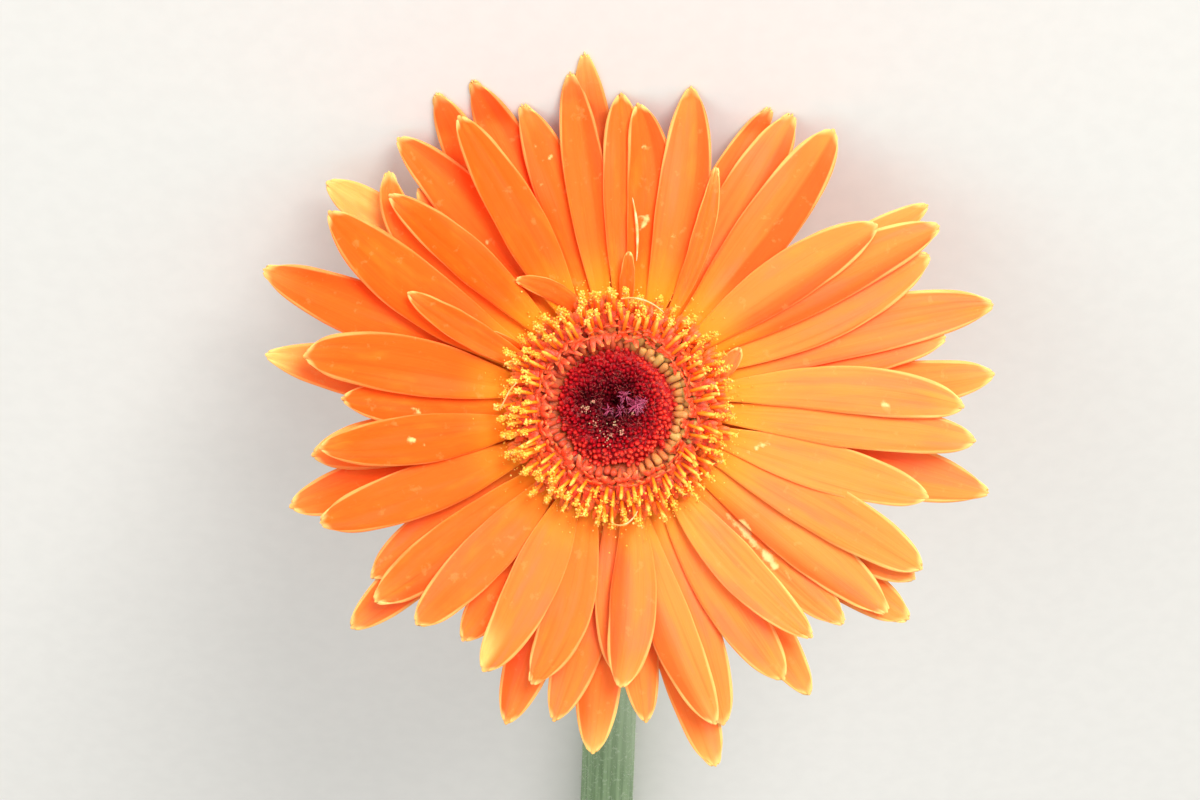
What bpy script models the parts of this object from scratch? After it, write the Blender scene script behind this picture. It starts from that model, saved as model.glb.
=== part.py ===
"""A cut gerbera daisy, as picked and laid down: its face tips up and its stem runs back along the surface.

Metres, +Z up. The origin is the middle of the base of the flower's box, on the surface that it lies on.
The bloom is modelled about its own centre, with +Z out of its face, and then turned into place.
"""

import math
import random

import bmesh
import bpy
from mathutils import Matrix, Vector

# Where the bloom's centre lies, and how far its face tips up from facing along the surface
BLOOM_CENTRE = Vector((-0.0019, 0.0716, 0.0330))
FACE_LIFT = math.radians(45)

# Stem
STEM_TOP_RADIUS = 0.0044
STEM_END_RADIUS = 0.0051
STEM_REACH = 0.185  # from the bloom's centre back to the cut end, along the surface
STEM_BEND_RADIUS = 0.0435
STEM_SWAY = 0.0030
STEM_STRAIGHT_STEPS = 10
STEM_BEND_STEPS = 6

# Green cup: radius and height down its outside, from the seat of the florets to the stem
CUP_PROFILE = (
    (0.0144, -0.0018),
    (0.0144, -0.0040),
    (0.0136, -0.0090),
    (0.0116, -0.0140),
    (0.0086, -0.0182),
    (0.0060, -0.0206),
    (0.0046, -0.0220),
)
CUP_STEPS = 26
BRACTS_IN_ROW = 13
# Each row of bracts: height at its root, height at its tip, width, how far the tips stand off, first azimuth
BRACT_ROWS = (
    (-0.0200, -0.0120, 0.0042, 0.0008, 0.0),
    (-0.0180, -0.0066, 0.0048, 0.0012, 9.0),
    (-0.0140, -0.0034, 0.0044, 0.0020, 18.0),
)
BRACT_ROOT_DEPTH = 0.0003
BRACT_COLUMNS, BRACT_LENGTHWISE = 2, 3

# The florets' three seats, side by side on the cup, with a clear gap between neighbours
SEAT_HEIGHT = -0.0015
HUB_INNER, HUB_OUTER, HUB_TOP = 0.0123, 0.0146, 0.0020
RING_INNER, RING_OUTER, RING_TOP = 0.0099, 0.0120, 0.0022
DOME_RADIUS, DOME_EDGE, DOME_TOP = 0.0096, 0.0012, 0.0040
HUB_STEPS, RING_STEPS, DOME_STEPS, DOME_RINGS = 48, 40, 28, 4
MERGE_DISTANCE = 0.00001

# Petals
BLADE_THICKNESS = 0.0007
PETAL_ROOT_RADIUS = 0.0131
PETAL_SPREAD_RADIUS = 0.0500  # where the layers' tip heights are measured
PETAL_WIDEST = 0.68  # of the way out to the tip
PETAL_COLUMNS, PETAL_LENGTHWISE = 2, 5
PETAL_ROUNDING = 0.0012
PETAL_TIP_STRAY = 0.0006
# A layer's height at the root, half way out and at the tip: the lowest layer's, and the step to the next
ROOT_HEIGHT, ROOT_STEP = -0.0010, 0.00042
MIDDLE_HEIGHT, MIDDLE_STEP = -0.0022, 0.00095
TIP_HEIGHT, TIP_STEP = -0.0050, 0.00105
TABLE_CLEARANCE = BLADE_THICKNESS / 2  # from the surface to the middle of a resting petal
TABLE_SOFTNESS = 0.0012  # how gently a petal bends where it meets the surface

# Each petal, anticlockwise from the bloom's right: azimuth of its tip in degrees, reach of its tip,
# azimuth of its root, width and layer, where 0 is the lowest layer
PETALS = (
    (0.0, 0.0521, 4.0, 0.0075, 5),
    (5.0, 0.0576, 6.0, 0.0075, 0),
    (10.5, 0.0495, 11.0, 0.0060, 1),
    (15.2, 0.0591, 14.0, 0.0085, 2),
    (26.0, 0.0524, 21.0, 0.0080, 3),
    (29.3, 0.0557, 31.0, 0.0080, 4),
    (33.0, 0.0564, 34.0, 0.0070, 0),
    (35.0, 0.0476, 38.0, 0.0075, 5),
    (52.0, 0.0530, 51.5, 0.0084, 4),
    (59.0, 0.0515, 59.0, 0.0075, 2),
    (62.3, 0.0506, 63.0, 0.0070, 0),
    (67.5, 0.0387, 62.0, 0.0055, 6),
    (77.0, 0.0492, 74.0, 0.0082, 5),
    (85.8, 0.0456, 82.0, 0.0080, 2),
    (89.3, 0.0471, 88.5, 0.0060, 4),
    (95.3, 0.0528, 95.0, 0.0075, 0),
    (98.0, 0.0504, 99.0, 0.0075, 5),
    (107.5, 0.0477, 105.0, 0.0075, 3),
    (114.0, 0.0534, 112.0, 0.0080, 1),
    (118.6, 0.0497, 117.0, 0.0085, 5),
    (120.0, 0.0543, 121.0, 0.0070, 0),
    (129.2, 0.0525, 128.0, 0.0075, 2),
    (132.3, 0.0446, 133.0, 0.0060, 1),
    (134.0, 0.0494, 146.0, 0.0060, 3),
    (137.0, 0.0467, 134.0, 0.0065, 5),
    (142.2, 0.0558, 143.0, 0.0070, 0),
    (145.8, 0.0525, 150.0, 0.0086, 4),
    (158.7, 0.0575, 160.0, 0.0086, 2),
    (170.8, 0.0477, 169.0, 0.0088, 4),
    (171.5, 0.0539, 172.0, 0.0075, 0),
    (178.2, 0.0414, 181.0, 0.0075, 3),
    (187.8, 0.0450, 190.0, 0.0070, 5),
    (189.0, 0.0467, 188.0, 0.0075, 1),
    (197.0, 0.0519, 198.0, 0.0075, 0),
    (201.3, 0.0479, 203.0, 0.0074, 4),
    (214.8, 0.0452, 213.0, 0.0070, 1),
    (218.8, 0.0467, 217.0, 0.0075, 3),
    (219.8, 0.0524, 219.0, 0.0065, 0),
    (227.3, 0.0444, 229.0, 0.0070, 4),
    (236.5, 0.0422, 238.0, 0.0065, 2),
    (243.1, 0.0444, 247.0, 0.0075, 5),
    (250.7, 0.0510, 251.0, 0.0075, 0),
    (252.8, 0.0435, 257.5, 0.0065, 4),
    (258.6, 0.0485, 263.0, 0.0075, 1),
    (266.0, 0.0527, 266.0, 0.0070, 0),
    (270.0, 0.0402, 268.0, 0.0060, 2),
    (270.7, 0.0420, 276.0, 0.0065, 4),
    (275.3, 0.0479, 274.0, 0.0060, 1),
    (285.4, 0.0566, 283.0, 0.0080, 0),
    (287.3, 0.0500, 286.0, 0.0070, 5),
    (288.5, 0.0507, 291.0, 0.0070, 2),
    (301.5, 0.0482, 296.0, 0.0075, 3),
    (303.8, 0.0525, 305.0, 0.0065, 0),
    (310.3, 0.0452, 305.5, 0.0070, 5),
    (316.3, 0.0473, 316.0, 0.0065, 1),
    (322.8, 0.0513, 323.0, 0.0080, 2),
    (324.0, 0.0549, 325.0, 0.0075, 0),
    (330.0, 0.0521, 331.0, 0.0070, 1),
    (332.0, 0.0521, 334.0, 0.0083, 3),
    (343.8, 0.0488, 342.5, 0.0070, 4),
    (347.0, 0.0581, 348.0, 0.0085, 0),
    (354.6, 0.0543, 354.0, 0.0065, 3),
    (26.0, 0.0204, 17.0, 0.0025, 6),
    (84.0, 0.0231, 84.5, 0.0030, 6),
    (127.0, 0.0240, 113.0, 0.0040, 6),
    (150.0, 0.0222, 152.0, 0.0025, 6),
    (151.3, 0.0356, 154.0, 0.0055, 6),
)

# Opened florets: a tube in one of two staggered rows, an outer lip and a style
FLORET_COUNT = 48
FLORET_ROWS = (0.0105, 0.0110)
TUBE_START = 0.0010
TUBE_LENGTH = 0.0048
TUBE_LEAN = math.radians(17)
TUBE_RADII = (0.00072, 0.00060)
TUBE_SIDES, NEEDLE_SIDES = 4, 3
LIP_LENGTH = 0.0040
LIP_LEAN = math.radians(75)
LIP_RADII = (0.00060, 0.00025)
STYLE_LENGTH = 0.0072
STYLE_LEAN = math.radians(66)
STYLE_RADII = (0.00042, 0.00032)

# Closed buds, set in the spiral that every daisy's centre grows in
BUD_COUNT = 88
BUD_SPREAD = 0.0088
GOLDEN_ANGLE = math.radians(137.508)
BUD_LENGTH = 0.0021
BUD_SUNK = 0.0010
BUD_RADII = (0.00088, 0.00044)
BUD_SIDES = 5


def turn_into_place():
    """From the bloom's own frame to the flower's."""
    return Matrix.Translation(BLOOM_CENTRE) @ Matrix.Rotation(FACE_LIFT - math.pi / 2, 4, "X")


def make_material(name, colour, roughness):
    material = bpy.data.materials.new(name)
    material.use_nodes = True
    shader = material.node_tree.nodes["Principled BSDF"]
    shader.inputs["Base Color"].default_value = (*colour, 1)
    shader.inputs["Roughness"].default_value = roughness
    shader.inputs["Metallic"].default_value = 0
    return material


def make_collection(name):
    collection = bpy.data.collections.new(name)
    bpy.context.scene.collection.children.link(collection)
    return collection


def make_object(name, mesh, collection):
    thing = bpy.data.objects.new(name, mesh)
    collection.objects.link(thing)
    return thing


def turned(name, profile, steps, collection, ring=False):
    """A closed turned solid. Its profile runs down the outside, and a ring's profile comes back up inside."""
    mesh = bpy.data.meshes.new(name)
    shape = bmesh.new()
    corners = [shape.verts.new((radius, 0, height)) for radius, height in profile]
    for upper, lower in zip(corners, corners[1:]):
        shape.edges.new((upper, lower))
    if ring:
        shape.edges.new((corners[-1], corners[0]))
    shape.to_mesh(mesh)
    shape.free()
    body = make_object(name, mesh, collection)
    screw = body.modifiers.new("Turn", "SCREW")
    screw.steps = steps
    screw.render_steps = steps
    screw.use_merge_vertices = True
    screw.merge_threshold = MERGE_DISTANCE
    return body


def square_section(inner, outer, bottom, top):
    return ((inner, top), (outer, top), (outer, bottom), (inner, bottom))


def add_blade(name, columns, rows, place, collection):
    """A thin blade: a flat grid bent to place(along, across), cut into triangles and then thickened.

    Along runs from 0 at the root to 1 at the tip, and across from -1 to 1.
    """
    mesh = bpy.data.meshes.new(name)
    shape = bmesh.new()
    bmesh.ops.create_grid(shape, x_segments=columns, y_segments=rows, size=0.5)
    for vertex in shape.verts:
        vertex.co = place(vertex.co.y + 0.5, 2 * vertex.co.x)
    bmesh.ops.triangulate(shape, faces=shape.faces)
    shape.to_mesh(mesh)
    shape.free()
    blade = make_object(name, mesh, collection)
    solidify = blade.modifiers.new("Thickness", "SOLIDIFY")
    solidify.thickness = BLADE_THICKNESS
    solidify.offset = 0
    return blade


def add_spike(name, start, direction, length, radii, sides, collection):
    """A closed tapering needle from its start along a direction."""
    mesh = bpy.data.meshes.new(name)
    shape = bmesh.new()
    turn = direction.to_track_quat("Z", "Y").to_matrix().to_4x4()
    middle = Matrix.Translation(start + direction * (length / 2))
    bmesh.ops.create_cone(
        shape,
        cap_ends=True,
        segments=sides,
        radius1=radii[0],
        radius2=radii[1],
        depth=length,
        matrix=middle @ turn,
    )
    shape.to_mesh(mesh)
    shape.free()
    return make_object(name, mesh, collection)


def fuse(body, repeats):
    """Joins the body and every object of the repeats into one mesh, and removes the repeats."""
    join = body.modifiers.new("Join", "BOOLEAN")
    join.operation = "UNION"
    join.operand_type = "COLLECTION"
    join.collection = repeats
    join.solver = "MANIFOLD"
    bpy.context.view_layer.update()
    graph = bpy.context.evaluated_depsgraph_get()
    joined = bpy.data.meshes.new_from_object(body.evaluated_get(graph))
    joined.name = body.name
    body.modifiers.clear()
    body.data = joined
    for repeat in list(repeats.objects):
        bpy.data.objects.remove(repeat)
    bpy.data.collections.remove(repeats)


def finish(body, material):
    """Gives a body of the bloom its material and its place."""
    body.data.materials.clear()
    body.data.materials.append(material)
    body.matrix_world = turn_into_place()


def outward(azimuth, lean):
    """A direction that leans away from the bloom's axis."""
    flat = Vector((math.cos(azimuth), math.sin(azimuth), 0))
    return flat * math.sin(lean) + Vector((0, 0, math.cos(lean)))


def on_circle(azimuth, radius, height):
    return Vector((radius * math.cos(azimuth), radius * math.sin(azimuth), height))


def layer_height(radius, layer):
    """How high a petal of this layer runs at this distance from the axis."""
    out = (radius - PETAL_ROOT_RADIUS) / (PETAL_SPREAD_RADIUS - PETAL_ROOT_RADIUS)
    root = (ROOT_HEIGHT + ROOT_STEP * layer) * (1 - out) * (1 - 2 * out)
    middle = (MIDDLE_HEIGHT + MIDDLE_STEP * layer) * 4 * out * (1 - out)
    tip = (TIP_HEIGHT + TIP_STEP * layer) * out * (2 * out - 1)
    return root + middle + tip


def above_table(point):
    """Bends a petal up, along the bloom's axis, where it would reach into the surface that the flower lies on."""
    lowest = (TABLE_CLEARANCE - BLOOM_CENTRE.z) / math.sin(FACE_LIFT) + point.y / math.tan(FACE_LIFT)
    apart = point.z - lowest
    point.z = lowest + (apart + math.hypot(apart, TABLE_SOFTNESS)) / 2
    return point


def petal_width_share(along):
    """A petal's width there, as a share of its greatest width."""
    if along < PETAL_WIDEST:
        return 0.5 + 0.5 * math.sin(math.pi / 2 * along / PETAL_WIDEST)
    return 1 - 0.68 * ((along - PETAL_WIDEST) / (1 - PETAL_WIDEST)) ** 2.4


def petal_placer(tip_azimuth, reach, root_azimuth, width, layer, stray):
    """Returns the function that bends a flat grid to this petal."""

    def middle(along):
        bend = along * along * (3 - 2 * along)
        azimuth = math.radians(root_azimuth + (tip_azimuth - root_azimuth) * bend)
        radius = PETAL_ROOT_RADIUS + (reach - PETAL_ROOT_RADIUS) * along
        return on_circle(azimuth, radius, 0)

    def place(along, across):
        forward = (middle(along + 0.01) - middle(along - 0.01)).normalized()
        sideways = Vector((forward.y, -forward.x, 0))
        point = middle(along) + sideways * (across * width / 2 * petal_width_share(along))
        point -= forward * (PETAL_ROUNDING * across * across * along**6)
        point.z = layer_height(point.xy.length, layer) + stray * along**3
        return above_table(point)

    return place


def make_ray_florets(collection):
    """The orange petals on their ring."""
    section = square_section(HUB_INNER, HUB_OUTER, SEAT_HEIGHT, HUB_TOP)
    hub = turned("ray_florets", section, HUB_STEPS, collection, ring=True)
    petals = make_collection("petals")
    chance = random.Random(11)
    for number, petal in enumerate(PETALS):
        stray = chance.uniform(-PETAL_TIP_STRAY, PETAL_TIP_STRAY)
        place = petal_placer(*petal, stray)
        add_blade(f"petal_{number}", PETAL_COLUMNS, PETAL_LENGTHWISE, place, petals)
    fuse(hub, petals)
    finish(hub, make_material("petal orange", (0.95, 0.22, 0.03), 0.6))


def make_trans_florets(collection):
    """The opened florets, each a tube with an outer lip and a style, on their ring."""
    section = square_section(RING_INNER, RING_OUTER, SEAT_HEIGHT, RING_TOP)
    ring = turned("trans_florets", section, RING_STEPS, collection, ring=True)
    florets = make_collection("florets")
    for number in range(FLORET_COUNT):
        azimuth = math.tau * number / FLORET_COUNT
        root = on_circle(azimuth, FLORET_ROWS[number % 2], TUBE_START)
        upright = outward(azimuth, TUBE_LEAN)
        mouth = root + upright * (TUBE_LENGTH - TUBE_RADII[1])
        lip = outward(azimuth, LIP_LEAN)
        style = outward(azimuth, STYLE_LEAN)
        add_spike(f"tube_{number}", root, upright, TUBE_LENGTH, TUBE_RADII, TUBE_SIDES, florets)
        add_spike(f"lip_{number}", mouth, lip, LIP_LENGTH, LIP_RADII, NEEDLE_SIDES, florets)
        add_spike(f"style_{number}", mouth, style, STYLE_LENGTH, STYLE_RADII, NEEDLE_SIDES, florets)
    fuse(ring, florets)
    finish(ring, make_material("floret coral and yellow", (0.90, 0.33, 0.14), 0.6))


def dome_height(radius):
    return DOME_EDGE + (DOME_TOP - DOME_EDGE) * (1 - (radius / DOME_RADIUS) ** 2)


def make_disc_florets(collection):
    """The unopened buds on their dome."""
    radii = [DOME_RADIUS * step / DOME_RINGS for step in range(DOME_RINGS + 1)]
    profile = [(radius, dome_height(radius)) for radius in radii]
    profile += [(DOME_RADIUS, SEAT_HEIGHT), (0, SEAT_HEIGHT)]
    dome = turned("disc_florets", profile, DOME_STEPS, collection)
    buds = make_collection("buds")
    for number in range(BUD_COUNT):
        radius = BUD_SPREAD * math.sqrt((number + 0.5) / BUD_COUNT)
        azimuth = number * GOLDEN_ANGLE
        slope = 2 * (DOME_TOP - DOME_EDGE) * radius / DOME_RADIUS**2
        direction = outward(azimuth, math.atan(slope))
        root = on_circle(azimuth, radius, dome_height(radius)) - direction * BUD_SUNK
        add_spike(f"bud_{number}", root, direction, BUD_LENGTH, BUD_RADII, BUD_SIDES, buds)
    fuse(dome, buds)
    finish(dome, make_material("bud red", (0.42, 0.02, 0.03), 0.5))


def cup_radius(height):
    for upper, lower in zip(CUP_PROFILE, CUP_PROFILE[1:]):
        if lower[1] <= height <= upper[1]:
            share = (height - lower[1]) / (upper[1] - lower[1])
            return lower[0] + (upper[0] - lower[0]) * share
    return CUP_PROFILE[-1][0]


def bract_placer(azimuth, root, tip, width, stand_off):
    """Returns the function that bends a flat grid to a bract, which rises along the cup and stands off at its tip."""

    def place(along, across):
        height = root + (tip - root) * along
        radius = cup_radius(height) - BRACT_ROOT_DEPTH + (BRACT_ROOT_DEPTH + stand_off) * along
        half_width = width / 2 * (0.25 + 0.75 * math.cos(math.pi / 2 * along**1.4))
        turn = across * half_width / radius
        return on_circle(azimuth + turn, radius, height)

    return place


def make_involucre(collection):
    """The green cup under the florets, with its bracts in rows."""
    profile = [(0, CUP_PROFILE[0][1]), *CUP_PROFILE, (0, CUP_PROFILE[-1][1])]
    cup = turned("involucre", profile, CUP_STEPS, collection)
    bracts = make_collection("bracts")
    for row, (root, tip, width, stand_off, first) in enumerate(BRACT_ROWS):
        for number in range(BRACTS_IN_ROW):
            azimuth = math.radians(first) + math.tau * number / BRACTS_IN_ROW
            place = bract_placer(azimuth, root, tip, width, stand_off)
            add_blade(f"bract_{row}_{number}", BRACT_COLUMNS, BRACT_LENGTHWISE, place, bracts)
    fuse(cup, bracts)
    finish(cup, make_material("bract green", (0.12, 0.24, 0.07), 0.7))


def stem_path():
    """The stem's middle line as points with a radius, from just below the cup to the cut end."""
    down = Vector((0, -math.cos(FACE_LIFT), -math.sin(FACE_LIFT)))
    top = BLOOM_CENTRE + down * (-CUP_PROFILE[-1][1] + 0.0003)
    end_y = BLOOM_CENTRE.y - STEM_REACH
    bend_y = STEM_BEND_RADIUS * math.sin(FACE_LIFT)
    bend_drop = STEM_BEND_RADIUS * (1 - math.cos(FACE_LIFT))
    slant = (top.z - bend_drop - STEM_TOP_RADIUS) / math.sin(FACE_LIFT)
    bend_start = top + down * slant
    flat_start = bend_start + Vector((0, -bend_y, -bend_drop))
    places = [top]
    for step in range(STEM_BEND_STEPS + 1):
        angle = FACE_LIFT * (1 - step / STEM_BEND_STEPS)
        offset = Vector((0, math.sin(angle), 1 - math.cos(angle)))
        places.append(flat_start + offset * STEM_BEND_RADIUS)
    for step in range(1, STEM_STRAIGHT_STEPS + 1):
        places.append(flat_start + Vector((0, end_y - flat_start.y, 0)) * (step / STEM_STRAIGHT_STEPS))
    path = []
    for place in places:
        share = (top.y - place.y) / (top.y - end_y)
        radius = STEM_TOP_RADIUS + (STEM_END_RADIUS - STEM_TOP_RADIUS) * share
        sideways = Vector((-STEM_SWAY * share * share, 0, 0))
        lifted = Vector((0, 0, radius - STEM_TOP_RADIUS))
        path.append((place + sideways + lifted, radius))
    return path


def make_scape(collection):
    """The bare stem, bent at its neck so that the rest lies along the surface."""
    curve = bpy.data.curves.new("scape", "CURVE")
    curve.dimensions = "3D"
    curve.bevel_depth = STEM_TOP_RADIUS
    curve.bevel_resolution = 4
    curve.use_fill_caps = True
    path = stem_path()
    spline = curve.splines.new("POLY")
    spline.points.add(len(path) - 1)
    for point, (place, radius) in zip(spline.points, path):
        point.co = (*place, 1)
        point.radius = radius / STEM_TOP_RADIUS
    scape = bpy.data.objects.new("scape", curve)
    scape.data.materials.append(make_material("stem green", (0.16, 0.26, 0.14), 0.75))
    collection.objects.link(scape)


def main():
    for thing in list(bpy.data.objects):
        bpy.data.objects.remove(thing)
    flower = make_collection("gerbera_daisy")
    make_scape(flower)
    make_involucre(flower)
    make_disc_florets(flower)
    make_trans_florets(flower)
    make_ray_florets(flower)


main()
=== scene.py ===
from math import atan2, cos, exp, hypot, pi, radians, sin, sqrt, tan, tau
from random import Random
from types import SimpleNamespace

import bmesh
import bpy
from mathutils import Matrix, Vector, noise


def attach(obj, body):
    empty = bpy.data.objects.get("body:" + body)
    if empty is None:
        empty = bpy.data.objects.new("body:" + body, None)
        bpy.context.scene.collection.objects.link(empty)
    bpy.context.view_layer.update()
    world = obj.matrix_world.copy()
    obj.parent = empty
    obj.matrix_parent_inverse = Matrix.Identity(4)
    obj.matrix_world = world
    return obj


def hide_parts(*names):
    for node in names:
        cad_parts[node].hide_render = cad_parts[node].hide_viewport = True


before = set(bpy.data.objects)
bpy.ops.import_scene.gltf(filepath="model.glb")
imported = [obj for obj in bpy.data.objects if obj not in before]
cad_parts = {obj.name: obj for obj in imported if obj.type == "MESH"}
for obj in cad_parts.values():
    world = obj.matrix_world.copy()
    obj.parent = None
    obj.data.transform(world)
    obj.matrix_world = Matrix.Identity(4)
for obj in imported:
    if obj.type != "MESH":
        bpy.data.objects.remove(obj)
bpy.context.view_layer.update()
print("frame loaded")

mm = 0.001

# where the bloom sits in the flower's frame, and how far its face tips up
bloomSeat = {
    "centre": Vector((-1.9, 71.6, 33.0)) * mm,
    "lift": radians(45),
}
bloomTurn = Matrix.Translation(bloomSeat["centre"]) @ Matrix.Rotation(bloomSeat["lift"] - pi / 2, 4, "X")


# small helpers: values that follow a place, and places round the bloom's axis

def smooth(start, end, value):
    share = min(max((value - start) / (end - start), 0), 1)
    return share * share * (3 - 2 * share)


def bump(middle, width, value):
    return exp(-(((value - middle) / width) ** 2))


def up(height):
    return Vector((0, 0, height))


def onCircle(azimuth, radius, height=0.0):
    return Vector((radius * cos(azimuth), radius * sin(azimuth), height))


# a direction that leans outwards from straight up
def outward(azimuth, lean):
    return onCircle(azimuth, 1) * sin(lean) + up(cos(lean))


# a smooth path led by its points
def pathThrough(points):
    def path(along):
        level = points
        while len(level) > 1:
            level = [first.lerp(second, along) for first, second in zip(level, level[1:])]
        return level[0]

    return path


# a heap of small shapes: an operator takes longer in a full mesh, so the heap fills small ones and joins them
class Heap:
    batchSize = 900

    def __init__(self):
        self.batch, self.full = bmesh.new(), []

    # the mesh to add to, and the layers for its marks
    def part(self, marks):
        if len(self.batch.verts) > self.batchSize:
            self.store()
        known = self.batch.verts.layers.float
        return self.batch, [(known.get(name) or known.new(name), mark) for name, mark in marks.items()]

    def store(self):
        mesh = bpy.data.meshes.new("batch")
        self.batch.to_mesh(mesh)
        self.batch.free()
        self.full.append(mesh)
        self.batch = bmesh.new()

    def joined(self):
        self.store()
        for mesh in self.full:
            self.batch.from_mesh(mesh)
            bpy.data.meshes.remove(mesh)
        return self.batch


# marks are float attributes of the points: each is a number, or a function of where the point lies
def setMarks(vertex, layers, *place):
    for layer, mark in layers:
        vertex[layer] = mark(*place) if callable(mark) else mark


# every skin starts as a flat grid and is carried to its shape
def addSkin(heap, columns, rows, place, marks, inner=None):
    shape, layers = heap.part(marks)
    for vertex in bmesh.ops.create_grid(shape, x_segments=columns, y_segments=rows, size=0.5)["verts"]:
        along, across = vertex.co.y + 0.5, 2 * vertex.co.x
        vertex.co = place(along, across)
        setMarks(vertex, layers, inner(along) if inner else along, across)


# a round skin about a path, shut by flat ends: sideways stays square to the path's plane
def addRound(heap, sides, rows, points, radius, sideways, marks, flatten=1.0):
    path, step = pathThrough(points), 0.02
    sideways = sideways.normalized()

    def inner(gridAlong):
        return min(max((gridAlong * (rows + 2) - 1) / rows, 0), 1)

    def place(gridAlong, across):
        along = inner(gridAlong)
        forward = (path(min(along + step, 1)) - path(max(along - step, 0))).normalized()
        angle = across * pi
        size = radius(along) if 0.001 < gridAlong < 0.999 else 0
        top = sideways.cross(forward) * (size * flatten * sin(angle))
        return path(along) + sideways * (size * cos(angle)) + top

    addSkin(heap, sides, rows + 2, place, marks, inner)


# a profile of radius and height, turned about the bloom's axis: it comes first in its heap
def addTurned(heap, profile, steps, marks):
    shape, layers = heap.part(marks)
    corners = [shape.verts.new((radius, 0, height)) for radius, height in profile]
    edges = [shape.edges.new(pair) for pair in zip(corners, corners[1:])]
    bmesh.ops.spin(shape, geom=corners + edges, axis=(0, 0, 1), angle=tau, steps=steps, use_merge=True)
    for vertex in shape.verts:
        setMarks(vertex, layers, vertex.co.xy.length, vertex.co.z)


def turnedTo(direction, middle):
    return Matrix.Translation(middle) @ direction.to_track_quat("Z", "Y").to_matrix().to_4x4()


# a small ball drawn out along a direction
def addBead(heap, middle, direction, length, radius, marks):
    shape, layers = heap.part(marks)
    place = turnedTo(direction, middle) @ Matrix.Diagonal((radius, radius, length / 2, 1))
    made = bmesh.ops.create_uvsphere(shape, u_segments=7, v_segments=6, radius=1, matrix=place)["verts"]
    for vertex in made:
        setMarks(vertex, layers, (vertex.co - middle).dot(direction) / length + 0.5)
    return made


def addGrain(heap, middle, radius, marks):
    shape, layers = heap.part(marks)
    place = Matrix.Translation(middle)
    for vertex in bmesh.ops.create_icosphere(shape, subdivisions=1, radius=radius, matrix=place)["verts"]:
        setMarks(vertex, layers)


# a slim three-sided spike, its root sunk in
def addHair(heap, root, direction, length, radius, marks):
    shape, layers = heap.part(marks)
    place = turnedTo(direction, root + direction * (length * 0.45))
    sizes = {"radius1": radius, "radius2": radius * 0.3, "depth": length}
    for vertex in bmesh.ops.create_cone(shape, cap_ends=True, segments=3, matrix=place, **sizes)["verts"]:
        setMarks(vertex, layers)


def addObject(name, data):
    made = bpy.data.objects.new(name, data)
    bpy.context.scene.collection.objects.link(made)
    return made


# how far a face lies along a slanted direction, which no two faces share
def slanted(face):
    x, y, z = face.calc_center_median()
    return x + 3.7 * y + 11.3 * z


def makePiece(name, heap, material, node, turn=bloomTurn):
    weld = 0.002 * mm
    shape = heap.joined()
    if turn:
        bmesh.ops.transform(shape, matrix=turn, verts=shape.verts)
    bmesh.ops.remove_doubles(shape, verts=shape.verts, dist=weld)
    bmesh.ops.dissolve_degenerate(shape, edges=shape.edges, dist=weld / 10)
    bmesh.ops.recalc_face_normals(shape, faces=shape.faces)
    shape.faces.sort(key=slanted)  # turned shapes and beads come with their faces in no fixed order
    mesh = bpy.data.meshes.new(name)
    shape.to_mesh(mesh)
    shape.free()
    mesh.shade_smooth()
    mesh.set_sharp_from_angle(angle=radians(70))
    mesh.materials.append(material)
    piece = addObject(name, mesh)
    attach(piece, "root")
    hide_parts(node)
    print(name, len(mesh.polygons), "faces")
    return piece


def thicken(piece, thickness, group=""):
    solid = piece.modifiers.new("thickness", "SOLIDIFY")
    solid.thickness = thickness
    solid.offset = 0
    solid.vertex_group = group


# screen colour as a hex text, turned into the linear values that a shader takes
def screenColour(text):
    parts = [int(text[i:i + 2], 16) / 255 for i in (0, 2, 4)]
    return (*(part / 12.92 if part <= 0.04045 else ((part + 0.055) / 1.055) ** 2.4 for part in parts), 1)


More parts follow.
